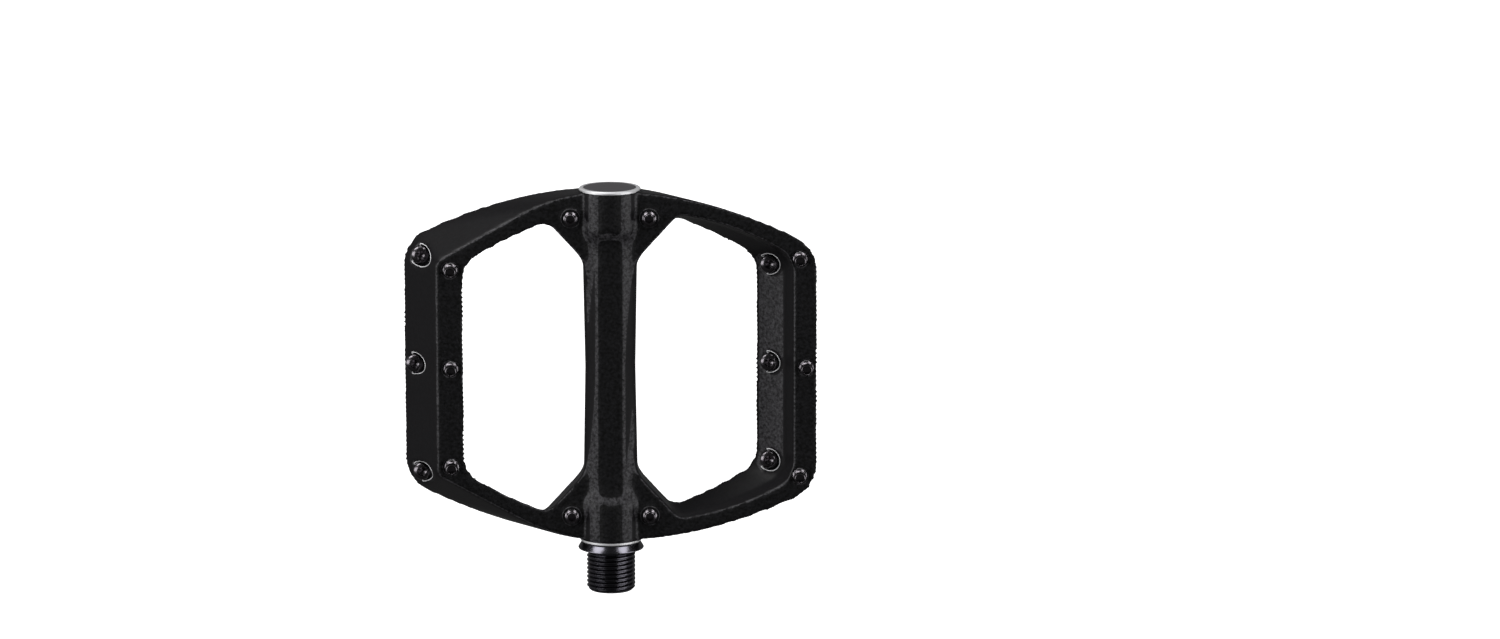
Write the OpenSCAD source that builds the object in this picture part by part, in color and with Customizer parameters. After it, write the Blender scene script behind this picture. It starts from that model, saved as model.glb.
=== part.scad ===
// Flat bicycle pedal for the left foot.
// X points to the leading edge, Y along the axle to the outboard end, Z up out of the platform.
// The origin lies on the axle, in the plane of the flange face that seats on the crank arm.

/* [Platform body] */
// Hub length along the axle, mm
hub_length = 105; // [100:1:110]
// Gap between the spindle flange and the hub, mm
flange_gap = 0.3; // [0.2:0.05:0.6]
// Width over both rails, mm
platform_width = 120.8; // [116:0.2:126]
// Rail thickness from pin face to pin face, mm
rail_thickness = 13; // [12:0.1:14]
// How far one edge of a rail leans inward across its thickness, mm
rail_lean = 10.4; // [9:0.1:11]
// Width of a pin face on the rail whose face reaches the outer edge, mm
wide_face = 7; // [6.5:0.1:8]
// Width of a pin face on the rail whose face is tucked in, mm
tucked_face = 8.5; // [8:0.1:9]
// Thickness of the arms beside the hub, mm
arm_thickness = 9.4; // [9:0.1:10.4]
// Radius of the dished top and bottom, mm
dish_radius = 760; // [740:5:900]
// Hub diameter at its two round ends, mm
hub_d = 18; // [17.6:0.1:19]
// Machined chamfer at each hub end, mm
hub_chamfer = 0.55; // [0.3:0.05:0.8]
// Height of the flat tube faces above the axle, mm
tube_height = 7; // [6.8:0.1:7.4]
// Width of the flat on top of the tube, mm
tube_flat = 7.2; // [6:0.1:8]
// Half width of the tube at mid length, mm
tube_waist = 7.3; // [7.1:0.1:8]
// Half width of the tube where it meets the arms, mm
tube_root = 8.1; // [7.8:0.1:8.3]

/* [Pins] */
// Thread diameter of every pin, mm
pin_d = 4; // [3:0.1:4.2]
// Radial clearance of a pin in its hole, mm
pin_clearance = 0.03; // [0.01:0.01:0.05]
// Height of a rail pin above its face, mm
rail_pin_height = 4; // [3:0.1:5]
// Height of a hub pin above its face, mm
hub_pin_height = 2.8; // [2:0.1:3.5]
// Head diameter of a rail pin, mm
pin_head_d = 5.2; // [5:0.1:5.6]
// Counterbore diameter round a rail pin head, mm
pin_counterbore_d = 6.4; // [6:0.1:6.8]

/* [Spindle] */
// Thread diameter, 9/16 inch less its crest clearance, mm
thread_d = 14.2; // [14:0.05:14.29]
// Length of thread and neck below the flange, mm
thread_length = 12.5; // [11:0.5:14]
// Flange diameter at its rim, mm
flange_d = 19.2; // [18.5:0.1:20]
// Flange thickness, mm
flange_thickness = 2; // [1.6:0.1:2.6]
// Journal diameter in the bush, mm
journal_d = 10; // [9.5:0.1:10.2]
// Seat diameter in the ball bearing, mm
bearing_seat_d = 6; // [5.9:0.1:6]
// Hex socket across flats, mm
hex_socket = 8; // [6:1:8]
// Hex socket depth, mm
hex_depth = 9; // [6:0.5:11]

/* [Bearings] */
// Radial running clearance of the journal in the bush, mm
running_clearance = 0.03; // [0.01:0.01:0.1]
// Ball bearing outer diameter, mm
bearing_d = 13; // [12.8:0.1:13]
// Ball bearing width, mm
bearing_width = 5; // [4.5:0.1:5]
// Ball diameter, mm
ball_d = 2.4; // [2:0.1:2.4]
// Number of balls
ball_count = 7; // [6:1:8]

/* [End cap] */
// Diameter of the visible disc, mm
cap_d = 14.5; // [14:0.1:14.6]
// Rise of the disc at its middle, mm
cap_dome = 0.25; // [0.1:0.05:0.4]

/* [Hidden] */
round_steps = 96;
root_facets = 36;
arc_steps = 8;
seat_gap = 0.02;
hub_start = flange_thickness + flange_gap;
hub_end = hub_start + hub_length;
mid_y = hub_start + hub_length / 2;
half_w = platform_width / 2;
half_t = rail_thickness / 2;
arm_y = hub_length / 2 - 0.7;
dish_z = arm_thickness / 2;

// Corners of the outline beside each rail as [x, y, radius]: the arm bend, then the rail corner.
wide_edge = [[29.6, arm_y, 112], [half_w, 35.6, 11.5]];
tucked_edge = [[11.2, arm_y, 40], [half_w - rail_lean, 31.6, 2.5]];

// Corners of a window as [x, y, radius], from the tube outward.
wide_window = [
    [3.5, 12, 10], [8, 32, 12], [20.2, 45.4, 4], [35.2, 42.8, 75], [half_w - wide_face, 33.2, 9]
];
tucked_window = [
    [3.5, 12, 10], [8, 32, 12], [17.9, 42.8, 5], [29.8, 37, 300],
    [half_w - rail_lean - tucked_face, 30.7, 8]
];
wall_z = 1.7;
wall_share = 0.2;

// Pin places on the upper face as [x, y] from the hub middle; the lower face has them turned half round.
outer_row = [[55.1, 32.2], [57, 0], [55.1, -32.2]];
inner_row = [[-46.3, 29.2], [-46.3, 0], [-46.3, -29.2]];
hub_row = [[11.4, 44.2], [-11.4, 44.2], [-11.4, -44.2], [11.4, -44.2]];
inner_row_z = dish_z + 46.3 * 46.3 / (2 * dish_radius);
pin_seat = 3.1;
pin_head_h = 2;
pin_step = 1.6;
pin_tip_d = 3.3;
pin_bore_d = 2.2;
pin_key = 2.5;
hub_pin_depth = 3.8;
hub_pin_key = 2;
boss_d = 5.8;
boss_h = 0.5;
hub_pin_base = dish_z + boss_h / 2;

seal_d = 14;
seal_width = 3;
seal_start = hub_start + 0.4;
bush_d = 12;
bush_length = 15;
bush_start = seal_start + seal_width + 0.2;
bore_d = 10.6;
bearing_start = hub_end - 14.8;
bearing_end = bearing_start + bearing_width;
bearing_mid = bearing_start + bearing_width / 2;
pitch_r = 4.75;
race_gap = 0.05;
inner_race_r = 4.05;
outer_race_r = 5.5;
circlip_start = bearing_end + 0.1;
circlip_t = 0.8;
circlip_gap = 50;
washer_t = 0.6;
nut_t = 3.5;
nut_flats = 8;
spindle_end = bearing_end + washer_t + nut_t + 0.8;
cap_t = 1.4;
cap_base = hub_end - cap_t;
plug_length = 2.7;
ring_d = 1.2;
ring_y = cap_base - 1.3;

black_satin = "#26262a";
pin_black = "#18181a";
steel = "#8e9094";
dark_steel = "#3a3b40";
bronze = "#9a7b4f";
rubber = "#141414";
plastic = "#4d4b4d";
brass = "#b08a4a";

function unit(v) = v / norm(v);
function turned(v, a) = [v[0] * cos(a) - v[1] * sin(a), v[0] * sin(a) + v[1] * cos(a)];
function flat(p) = [p[0], p[1]];

// One rounded corner: the arc between the edges a-p and p-b with the radius held in p[2].
function corner_arc(a, p, b) =
    let (
        u = unit(flat(p) - flat(a)),
        w = unit(flat(b) - flat(p)),
        turn = atan2(u[0] * w[1] - u[1] * w[0], u * w),
        side = turn > 0 ? 1 : -1,
        inward = side * [-u[1], u[0]],
        start = flat(p) - u * p[2] * tan(abs(turn) / 2),
        centre = start + p[2] * inward
    )
    [for (k = [0:arc_steps]) centre + turned(-p[2] * inward, turn * k / arc_steps)];

function rounded(c) =
    let (n = len(c))
    [for (i = [0:n - 1]) each corner_arc(c[(i + n - 1) % n], c[i], c[(i + 1) % n])];

function placed(c, sx, sy) = [for (p = c) [sx * p[0], sy * p[1], p[2]]];
function reversed(c) = [for (i = [len(c) - 1:-1:0]) c[i]];
function frame_outline(right, left) = rounded(concat(
    placed(right, 1, -1), reversed(placed(right, 1, 1)), placed(left, -1, 1),
    reversed(placed(left, -1, -1))
));
function window_outline(c) = rounded(concat(placed(c, 1, -1), reversed(placed(c, 1, 1))));
function blended(a, b, share) = [for (i = [0:len(a) - 1]) a[i] * (1 - share) + b[i] * share];

// A closed solid through outlines of equal length; levels are [height, outline], from low to high.
module loft(levels, centre) {
    n = len(levels[0][1]);
    m = len(levels);
    rings = [for (l = levels) each [for (p = l[1]) [p[0], p[1], l[0]]]];
    ends = [[centre[0], centre[1], levels[0][0]], [centre[0], centre[1], levels[m - 1][0]]];
    sides = [
        for (j = [0:m - 2], i = [0:n - 1])
            let (k = (i + 1) % n)
            each [
                [j * n + i, (j + 1) * n + i, (j + 1) * n + k],
                [j * n + i, (j + 1) * n + k, j * n + k]
            ]
    ];
    low = [for (i = [0:n - 1]) [m * n, i, (i + 1) % n]];
    high = [for (i = [0:n - 1]) [m * n + 1, (m - 1) * n + (i + 1) % n, (m - 1) * n + i]];
    polyhedron(points = concat(rings, ends), faces = concat(sides, low, high));
}

module on_axle() rotate([-90, 0, 0]) children();
module half_turn() rotate([0, 180, 0]) children();
module both_faces() {
    children();
    half_turn() children();
}
module turned_profile(points) on_axle() rotate_extrude($fn = round_steps) polygon(points);
module axle_rod(d, from, to) translate([0, from, 0]) on_axle() cylinder(d = d, h = to - from, $fn = round_steps);

// Window on the leading side; the trailing one is the same solid turned half round.
module window() {
    wide = window_outline(wide_window);
    tucked = window_outline(tucked_window);
    knee = blended(wide, tucked, wall_share);
    loft([[-half_t - 1, tucked], [-half_t, tucked], [wall_z, knee], [half_t, wide], [half_t + 1, wide]], [30, 0]);
}

module dish() {
    translate([0, -half_w, dish_z + dish_radius])
        on_axle()
            cylinder(r = dish_radius, h = platform_width, $fn = 1080);
}

module frame_blank() {
    difference() {
        loft([
            [-half_t, frame_outline(tucked_edge, wide_edge)],
            [half_t, frame_outline(wide_edge, tucked_edge)]
        ], [0, 0]);
        both_faces() window();
        dish();
        half_turn() dish();
    }
}

// Straight tube between the windows, eight-sided, a little wider at both ends.
module tube_middle() {
    side_z = 3.2;
    half_flat = tube_flat / 2;
    reach = 44;
    function section(a) = [
        [a, -side_z], [a, side_z], [half_flat, tube_height], [-half_flat, tube_height],
        [-a, side_z], [-a, -side_z], [-half_flat, -tube_height], [half_flat, -tube_height]
    ];
    on_axle() loft([[-reach, section(tube_root)], [0, section(tube_waist)], [reach, section(tube_root)]], [0, 0]);
}

// Round hub end with a faceted conical root; the flat of the tube runs out into it as an arch.
module hub_round() {
    r = hub_d / 2;
    top = hub_length / 2;
    root_y = 34.7;
    root_r = 6.7;
    round_y = 39.6;
    arch_r = tube_flat / 2 - 0.2;
    arch_y = 35.1;
    function ring(radius) = [for (i = [0:root_facets - 1]) turned([radius, 0], (i + 0.5) * 360 / root_facets)];
    difference() {
        union() {
            turned_profile([[0, round_y], [r, round_y], [r, top - hub_chamfer], [r - hub_chamfer, top], [0, top]]);
            on_axle() loft([[root_y, ring(root_r)], [round_y + 0.4, ring(r - 0.03)]], [0, 0]);
        }
        both_faces()
            translate([0, arch_y, 0])
                loft([[tube_height, ring(arch_r)], [tube_height + 2.4, ring(arch_r + 2.4)]], [0, 0]);
    }
}

module hub_bosses() {
    for (p = hub_row)
        translate([p[0], p[1], 0])
            cylinder(d = boss_d, h = dish_z + boss_h, $fn = round_steps);
}

// Hole, tip countersink and head counterbore of one rail pin; the pin face lies at z = 0.
module rail_pin_hole() {
    r = pin_d / 2 + pin_clearance;
    wide_r = pin_counterbore_d / 2;
    sink = 0.45;
    rotate_extrude($fn = round_steps) polygon([
        [0, -rail_thickness], [wide_r, -rail_thickness], [wide_r, -pin_seat], [r, -pin_seat],
        [r, -sink], [r + 2 * sink, sink], [r + 2 * sink, 1], [0, 1]
    ]);
}

module hub_pin_hole() {
    translate([0, 0, -hub_pin_depth - 0.2])
        cylinder(d = pin_d + 2 * pin_clearance, h = hub_pin_depth + 2, $fn = round_steps);
}

module face_pin_holes() {
    at_places(outer_row, half_t) rail_pin_hole();
    at_places(inner_row, inner_row_z) rail_pin_hole();
    at_places(hub_row, hub_pin_base) hub_pin_hole();
}

module at_places(places, z) {
    for (p = places)
        translate([p[0], p[1], z])
            children();
}

// All seats along the axle, in the order a tool would cut them.
module axle_bores() {
    axle_rod(bore_d, hub_start - 1, hub_end + 1);
    axle_rod(seal_d, hub_start - 1, seal_start + seal_width + 0.1);
    axle_rod(bush_d, hub_start - 1, bush_start + bush_length + 0.1);
    axle_rod(bearing_d, bearing_start, hub_end + 1);
    axle_rod(bearing_d + 1, circlip_start - 0.05, circlip_start + circlip_t + 0.05);
    axle_rod(cap_d + 0.1, cap_base, hub_end + 1);
}

module platform_body() color(black_satin) {
    difference() {
        translate([0, mid_y, 0])
            difference() {
                union() {
                    frame_blank();
                    tube_middle();
                    both_faces() hub_bosses();
                    hub_round();
                    mirror([0, 1, 0]) hub_round();
                }
                both_faces() face_pin_holes();
            }
        axle_bores();
    }
}

// Rail pin: hex head in the counterbore, threaded shank, stepped hollow tip; the face lies at z = 0.
module rail_pin() {
    r = pin_d / 2;
    base = -pin_seat - pin_head_h;
    difference() {
        rotate_extrude($fn = round_steps) polygon([
            [0, base], [pin_head_d / 2 - 0.3, base], [pin_head_d / 2, base + 0.3], [pin_head_d / 2, -pin_seat],
            [r, -pin_seat], [r, pin_step], [pin_tip_d / 2, pin_step + 0.3],
            [pin_tip_d / 2, rail_pin_height - 0.2], [pin_tip_d / 2 - 0.2, rail_pin_height], [0, rail_pin_height]
        ]);
        translate([0, 0, base - 1])
            cylinder(d = pin_key / cos(30), h = 2.4, $fn = 6);
        translate([0, 0, rail_pin_height - 1.8])
            cylinder(d = pin_bore_d, h = 3, $fn = round_steps);
    }
}

// Hub pin: a short grub screw whose hex opens in its tip.
module hub_pin() {
    r = pin_d / 2;
    difference() {
        rotate_extrude($fn = round_steps) polygon([
            [0, -hub_pin_depth], [r - 0.4, -hub_pin_depth], [r, -hub_pin_depth + 0.4],
            [r, hub_pin_height - 1.1], [r - 0.35, hub_pin_height - 0.8],
            [r - 0.35, hub_pin_height - 0.2], [r - 0.55, hub_pin_height], [0, hub_pin_height]
        ]);
        translate([0, 0, hub_pin_height - 1.8])
            cylinder(d = hub_pin_key / cos(30), h = 3, $fn = 6);
    }
}

module front_pins(places, z) color(pin_black) translate([0, mid_y, 0]) at_places(places, z) children();
module back_pins(places, z) color(pin_black) translate([0, mid_y, 0]) half_turn() at_places(places, z) children();

module outer_row_pins_front() front_pins(outer_row, half_t) rail_pin();
module outer_row_pins_back() back_pins(outer_row, half_t) rail_pin();
module inner_row_pins_front() front_pins(inner_row, inner_row_z) rail_pin();
module inner_row_pins_back() back_pins(inner_row, inner_row_z) rail_pin();
module hub_pins_front() front_pins(hub_row, hub_pin_base) hub_pin();
module hub_pins_back() back_pins(hub_row, hub_pin_base) hub_pin();

module spindle() color(dark_steel) {
    thread_r = thread_d / 2;
    rim_r = flange_d / 2;
    seat_r = bearing_seat_d / 2;
    shaft_r = 4;
    neck = 1.2;
    difference() {
        turned_profile([
            [0, -thread_length], [thread_r - 0.9, -thread_length], [thread_r, -thread_length + 0.9],
            [thread_r, -neck], [thread_r - 0.5, -neck + 0.3], [thread_r - 0.5, -0.6], [thread_r + 0.2, 0],
            [rim_r - 0.2, 0], [rim_r, 0.2], [rim_r, 0.4], [rim_r - 0.95, flange_thickness],
            [journal_d / 2, flange_thickness], [journal_d / 2, bush_start + bush_length + 3],
            [shaft_r, bearing_start - 3], [shaft_r, bearing_start], [seat_r, bearing_start],
            [seat_r, spindle_end - 0.5], [seat_r - 0.5, spindle_end], [0, spindle_end]
        ]);
        translate([0, -thread_length - 1, 0])
            on_axle()
                cylinder(d = hex_socket / cos(30), h = hex_depth + 1, $fn = 6);
        translate([0, -thread_length - 0.01, 0])
            on_axle()
                cylinder(r1 = hex_socket / 2 + 0.9, r2 = hex_socket / 2, h = 0.9, $fn = round_steps);
    }
}

module inboard_lip_seal() color(rubber) {
    outer_r = seal_d / 2 - seat_gap;
    lip_r = journal_d / 2 + 0.05;
    turned_profile([
        [lip_r, seal_start + 0.9], [lip_r + 0.6, seal_start], [outer_r, seal_start],
        [outer_r, seal_start + seal_width], [outer_r - 0.8, seal_start + seal_width],
        [outer_r - 0.8, seal_start + 1.6], [lip_r + 0.5, seal_start + 1.6], [lip_r, seal_start + 1.3]
    ]);
}

module inboard_bush() color(bronze) {
    inner_r = journal_d / 2 + running_clearance;
    outer_r = bush_d / 2 - seat_gap;
    end = bush_start + bush_length;
    turned_profile([
        [inner_r, bush_start + 0.2], [inner_r + 0.2, bush_start], [outer_r - 0.2, bush_start],
        [outer_r, bush_start + 0.2], [outer_r, end], [inner_r, end]
    ]);
}

module race_ring(r1, r2) {
    on_axle()
        rotate_extrude($fn = round_steps)
            difference() {
                translate([r1, bearing_start])
                    square([r2 - r1, bearing_width]);
                translate([pitch_r, bearing_mid])
                    circle(r = ball_d / 2 + race_gap, $fn = round_steps);
            }
}

module bearing_outer_race() color(steel) race_ring(outer_race_r, bearing_d / 2 - seat_gap);
module bearing_inner_race() color(steel) race_ring(bearing_seat_d / 2 + seat_gap, inner_race_r);

module at_balls() {
    for (i = [0:ball_count - 1])
        rotate([0, i * 360 / ball_count, 0])
            translate([pitch_r, bearing_mid, 0])
                children();
}

module bearing_balls() color(steel) at_balls() sphere(d = ball_d, $fn = 48);

module bearing_cage() color(brass) {
    ring_width = 2.8;
    difference() {
        turned_profile([
            [pitch_r - 0.35, bearing_mid - ring_width / 2], [pitch_r + 0.35, bearing_mid - ring_width / 2],
            [pitch_r + 0.35, bearing_mid + ring_width / 2], [pitch_r - 0.35, bearing_mid + ring_width / 2]
        ]);
        at_balls()
            rotate([0, 90, 0])
                cylinder(d = ball_d + 2 * race_gap, h = 4, center = true, $fn = round_steps);
    }
}

module shield(from) {
    thickness = 0.3;
    turned_profile([
        [inner_race_r + 0.3, from], [outer_race_r - seat_gap, from],
        [outer_race_r - seat_gap, from + thickness], [inner_race_r + 0.3, from + thickness]
    ]);
}

module bearing_shield_inboard() color(steel) shield(bearing_start + 0.15);
module bearing_shield_outboard() color(steel) shield(bearing_end - 0.45);

// Open spring ring with two eyes for the pliers.
module bearing_circlip() color(dark_steel) {
    outer_r = bearing_d / 2 + 0.45;
    inner_r = outer_r - 1.1;
    eye_r = 0.75;
    eye_at = 5.85;
    translate([0, circlip_start, 0])
        on_axle()
            difference() {
                union() {
                    rotate(circlip_gap / 2)
                        rotate_extrude(angle = 360 - circlip_gap, $fn = round_steps)
                            translate([inner_r, 0])
                                square([outer_r - inner_r, circlip_t]);
                    for (side = [-1, 1])
                        rotate(side * circlip_gap / 2)
                            translate([eye_at, 0, 0])
                                cylinder(r = eye_r, h = circlip_t, $fn = round_steps);
                }
                for (side = [-1, 1])
                    rotate(side * circlip_gap / 2)
                        translate([eye_at, 0, -1])
                            cylinder(r = 0.35, h = circlip_t + 2, $fn = round_steps);
            }
}

module lock_washer() color(steel) {
    difference() {
        axle_rod(2 * inner_race_r, bearing_end, bearing_end + washer_t);
        axle_rod(bearing_seat_d + 2 * seat_gap, bearing_end - 1, bearing_end + washer_t + 1);
    }
}

module lock_nut() color(steel) {
    start = bearing_end + washer_t;
    collar = 1;
    difference() {
        union() {
            translate([0, start, 0])
                on_axle()
                    cylinder(d = nut_flats / cos(30), h = nut_t - collar, $fn = 6);
            axle_rod(nut_flats, start + nut_t - collar, start + nut_t);
        }
        axle_rod(bearing_seat_d + 2 * seat_gap, start - 1, start + nut_t + 1);
    }
}

module end_cap() color(plastic) {
    disc_r = cap_d / 2;
    plug_r = bearing_d / 2 - 0.05;
    groove_r = pitch_r + 0.45;
    plug_start = cap_base - plug_length;
    turned_profile([
        [0, plug_start], [plug_r - 0.3, plug_start], [plug_r, plug_start + 0.3],
        [plug_r, ring_y - 0.7], [groove_r, ring_y - 0.7], [groove_r, ring_y + 0.7], [plug_r, ring_y + 0.7],
        [plug_r, cap_base], [disc_r, cap_base], [disc_r, hub_end - 0.25], [disc_r - 0.25, hub_end],
        [disc_r * 0.6, hub_end + cap_dome * 0.7], [disc_r * 0.3, hub_end + cap_dome * 0.95],
        [0, hub_end + cap_dome]
    ]);
}

module end_cap_o_ring() color(rubber) {
    on_axle()
        rotate_extrude($fn = round_steps)
            translate([bearing_d / 2 - 0.05 - ring_d / 2, ring_y])
                circle(d = ring_d, $fn = round_steps);
}

platform_body();
outer_row_pins_front();
outer_row_pins_back();
inner_row_pins_front();
inner_row_pins_back();
hub_pins_front();
hub_pins_back();
spindle();
inboard_lip_seal();
inboard_bush();
bearing_outer_race();
bearing_inner_race();
bearing_balls();
bearing_cage();
bearing_shield_inboard();
bearing_shield_outboard();
bearing_circlip();
lock_washer();
lock_nut();
end_cap();
end_cap_o_ring();
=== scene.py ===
"""Flat pedal for the left foot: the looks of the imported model, built piece by piece in its own frame."""

import logging
import math
from dataclasses import dataclass, field
from enum import Enum
from typing import Iterable, Optional, Sequence

import bpy
from mathutils import Euler, Matrix, Vector


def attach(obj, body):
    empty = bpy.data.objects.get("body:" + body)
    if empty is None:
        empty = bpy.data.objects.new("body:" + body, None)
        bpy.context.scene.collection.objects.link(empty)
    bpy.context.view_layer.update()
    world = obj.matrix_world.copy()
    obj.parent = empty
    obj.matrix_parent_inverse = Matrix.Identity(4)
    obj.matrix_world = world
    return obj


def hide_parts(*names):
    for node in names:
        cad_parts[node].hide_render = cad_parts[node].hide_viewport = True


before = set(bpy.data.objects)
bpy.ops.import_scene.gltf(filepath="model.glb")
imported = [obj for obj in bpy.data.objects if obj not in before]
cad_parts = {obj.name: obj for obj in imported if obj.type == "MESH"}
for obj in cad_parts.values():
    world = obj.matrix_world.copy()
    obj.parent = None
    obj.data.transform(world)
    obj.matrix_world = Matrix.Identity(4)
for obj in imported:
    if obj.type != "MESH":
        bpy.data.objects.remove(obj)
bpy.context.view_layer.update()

MM = 0.001
SHOULDER = 0.01  # millimetres along the axle that a square shoulder takes on the lathe
LOG = logging.getLogger("flat_pedal")

Point = tuple[float, float, float]
Station = tuple[float, float]


class Body(Enum):
    """The rigid bodies that a piece can ride on."""

    SPINDLE = "spindle"
    PLATFORM = "platform"


class Cut(Enum):
    """How a boolean modifier joins a tool to a piece."""

    TAKE = "DIFFERENCE"
    ADD = "UNION"
    KEEP = "INTERSECT"


# --- modelling helpers ---------------------------------------------------------------------------


def pick_only(piece: bpy.types.Object) -> None:
    """Selects one object alone and makes it active.

    Args:
        piece: The object that the next operator acts on.
    """
    bpy.ops.object.select_all(action="DESELECT")
    piece.select_set(True)
    bpy.context.view_layer.objects.active = piece


def settle(piece: bpy.types.Object) -> None:
    """Moves an object's place, turn and size into its mesh.

    Args:
        piece: The object to settle at the origin.
    """
    pick_only(piece)
    bpy.ops.object.transform_apply(location=True, rotation=True, scale=True)


def face_outward(piece: bpy.types.Object) -> None:
    """Merges doubles and turns every face outward.

    Args:
        piece: A closed mesh.
    """
    pick_only(piece)
    bpy.ops.object.mode_set(mode="EDIT")
    bpy.ops.mesh.select_all(action="SELECT")
    bpy.ops.mesh.remove_doubles(threshold=1e-6)
    bpy.ops.mesh.normals_make_consistent(inside=False)
    bpy.ops.object.mode_set(mode="OBJECT")


def turn_on_axle(name: str, stations: Sequence[Station], sides: int = 96) -> bpy.types.Object:
    """Turns a solid on the axle, as on a lathe, by extruding a disc from station to station.

    Args:
        name: The object's name.
        stations: Places along the axle and radii, both in millimetres, from one end to the other.
        sides: How many flats stand for the circle.

    Returns:
        A closed solid about the Y axis, at its place.
    """
    start_y, start_r = stations[0]
    bpy.ops.object.select_all(action="DESELECT")
    bpy.ops.mesh.primitive_circle_add(
        vertices=sides, radius=start_r * MM, fill_type="NGON",
        location=(0, start_y * MM, 0), rotation=(math.pi / 2, 0, 0),
    )
    piece = bpy.context.active_object
    piece.name = name
    settle(piece)
    bpy.ops.object.mode_set(mode="EDIT")
    bpy.ops.mesh.select_all(action="SELECT")
    y, r = start_y, start_r
    for next_y, next_r in stations[1:]:
        bpy.ops.mesh.extrude_region_move(TRANSFORM_OT_translate={"value": (0, (next_y - y) * MM, 0)})
        grow = next_r / r
        bpy.ops.transform.resize(value=(grow, 1, grow), center_override=(0, next_y * MM, 0))
        y, r = next_y, next_r
    bpy.ops.mesh.select_all(action="SELECT")
    bpy.ops.mesh.normals_make_consistent(inside=False)
    bpy.ops.object.mode_set(mode="OBJECT")
    return piece


def stand_up(piece: bpy.types.Object) -> bpy.types.Object:
    """Turns a solid made on the axle so that its long axis points up.

    Args:
        piece: A solid about the Y axis.

    Returns:
        The same object, now about the Z axis.
    """
    piece.rotation_euler = (math.pi / 2, 0, 0)
    settle(piece)
    return piece


def rod(name: str, radius: float, low: float, high: float, sides: int = 48) -> bpy.types.Object:
    """Makes an upright rod, mostly a cutting tool.

    Args:
        name: The object's name.
        radius: Its radius in millimetres.
        low: Height of its lower end in millimetres.
        high: Height of its upper end in millimetres.
        sides: How many flats stand for the circle.

    Returns:
        The rod on the Z axis.
    """
    bpy.ops.object.select_all(action="DESELECT")
    bpy.ops.mesh.primitive_cylinder_add(
        vertices=sides, radius=radius * MM, depth=(high - low) * MM, location=(0, 0, (low + high) / 2 * MM)
    )
    piece = bpy.context.active_object
    piece.name = name
    settle(piece)
    return piece


def combine(piece: bpy.types.Object, tool: bpy.types.Object, how: Cut) -> None:
    """Applies one solid to another and deletes the tool.

    Args:
        piece: The solid that is changed.
        tool: The solid that is added, taken away or kept in common.
        how: Which of the three.
    """
    pick_only(piece)
    step = piece.modifiers.new(how.name.title(), "BOOLEAN")
    step.operation = how.value
    step.solver = "MANIFOLD"
    step.object = tool
    before = len(piece.data.polygons)
    bpy.ops.object.modifier_apply(modifier=step.name)
    if len(piece.data.polygons) == before:
        raise RuntimeError(f"{tool.name} left {piece.name} as it was: one of them isn't a closed solid")
    bpy.data.objects.remove(tool, do_unlink=True)


def placed_copy(piece: bpy.types.Object, name: str, move: Point, half_turn: bool = False) -> bpy.types.Object:
    """Copies a piece with a mesh of its own.

    Args:
        piece: The piece to copy.
        name: The copy's name.
        move: Where the copy goes, in millimetres.
        half_turn: Whether the copy, once moved, is turned half round the axle.

    Returns:
        The copy, settled at its place.
    """
    copy = piece.copy()
    copy.data = piece.data.copy()
    copy.name = name
    bpy.context.scene.collection.objects.link(copy)
    place = Matrix.Translation(Vector(move) * MM)
    if half_turn:
        place = Matrix.Rotation(math.pi, 4, "Y") @ place
    copy.matrix_world = place
    settle(copy)
    return copy


def joined(pieces: Sequence[bpy.types.Object], name: str) -> bpy.types.Object:
    """Joins pieces into one object.

    Args:
        pieces: The pieces, of which the first is kept.
        name: The joined object's name.

    Returns:
        The joined object.
    """
    pick_only(pieces[0])
    for piece in pieces[1:]:
        piece.select_set(True)
    bpy.ops.object.join()
    whole = bpy.context.active_object
    whole.name = name
    return whole


def both_sides(tool: bpy.types.Object, places: Sequence[Point], name: str) -> bpy.types.Object:
    """Sets copies of one tool on both faces of the frame and joins them.

    Args:
        tool: The tool, which is deleted.
        places: Where it stands on the upper face, in millimetres.
        name: The joined tool's name.

    Returns:
        All the copies as one object.
    """
    copies = [
        placed_copy(tool, f"{name}_{i}", place, half)
        for i, place in enumerate(places) for half in (False, True)
    ]
    bpy.data.objects.remove(tool, do_unlink=True)
    return joined(copies, name)


def smooth_by_angle(piece: bpy.types.Object, degrees: float = 32.0) -> None:
    """Shades a piece smooth up to an angle, so that machined edges stay crisp.

    Args:
        piece: The piece.
        degrees: The sharpest angle that still looks round.
    """
    pick_only(piece)
    bpy.ops.object.shade_smooth_by_angle(angle=math.radians(degrees))


# --- finishes ------------------------------------------------------------------------------------


def linear(colour: str) -> tuple[float, float, float, float]:
    """Turns an sRGB hex colour into linear light.

    Args:
        colour: Six hex digits after a hash.

    Returns:
        Red, green, blue and an alpha of one.
    """
    parts = [int(colour[i:i + 2], 16) / 255 for i in (1, 3, 5)]
    lit = [c / 12.92 if c <= 0.04045 else ((c + 0.055) / 1.055) ** 2.4 for c in parts]
    return (lit[0], lit[1], lit[2], 1.0)


def add_node(
    tree: bpy.types.NodeTree,
    kind: str,
    settings: Optional[dict[str, object]] = None,
    links: Optional[dict[str, bpy.types.NodeSocket]] = None,
) -> bpy.types.Node:
    """Adds a node with its settings and its incoming links.

    Args:
        tree: The material's node tree.
        kind: The node's type name.
        settings: Attributes of the node, or input sockets by name or number.
        links: Sockets of earlier nodes, by the name or number of the input that they feed.

    Returns:
        The new node.
    """
    node = tree.nodes.new(kind)
    for key, value in (settings or {}).items():
        if hasattr(node, key):
            setattr(node, key, value)
        else:
            node.inputs[int(key) if key.isdigit() else key].default_value = value
    for key, socket in (links or {}).items():
        tree.links.new(socket, node.inputs[int(key) if key.isdigit() else key])
    return node


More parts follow.
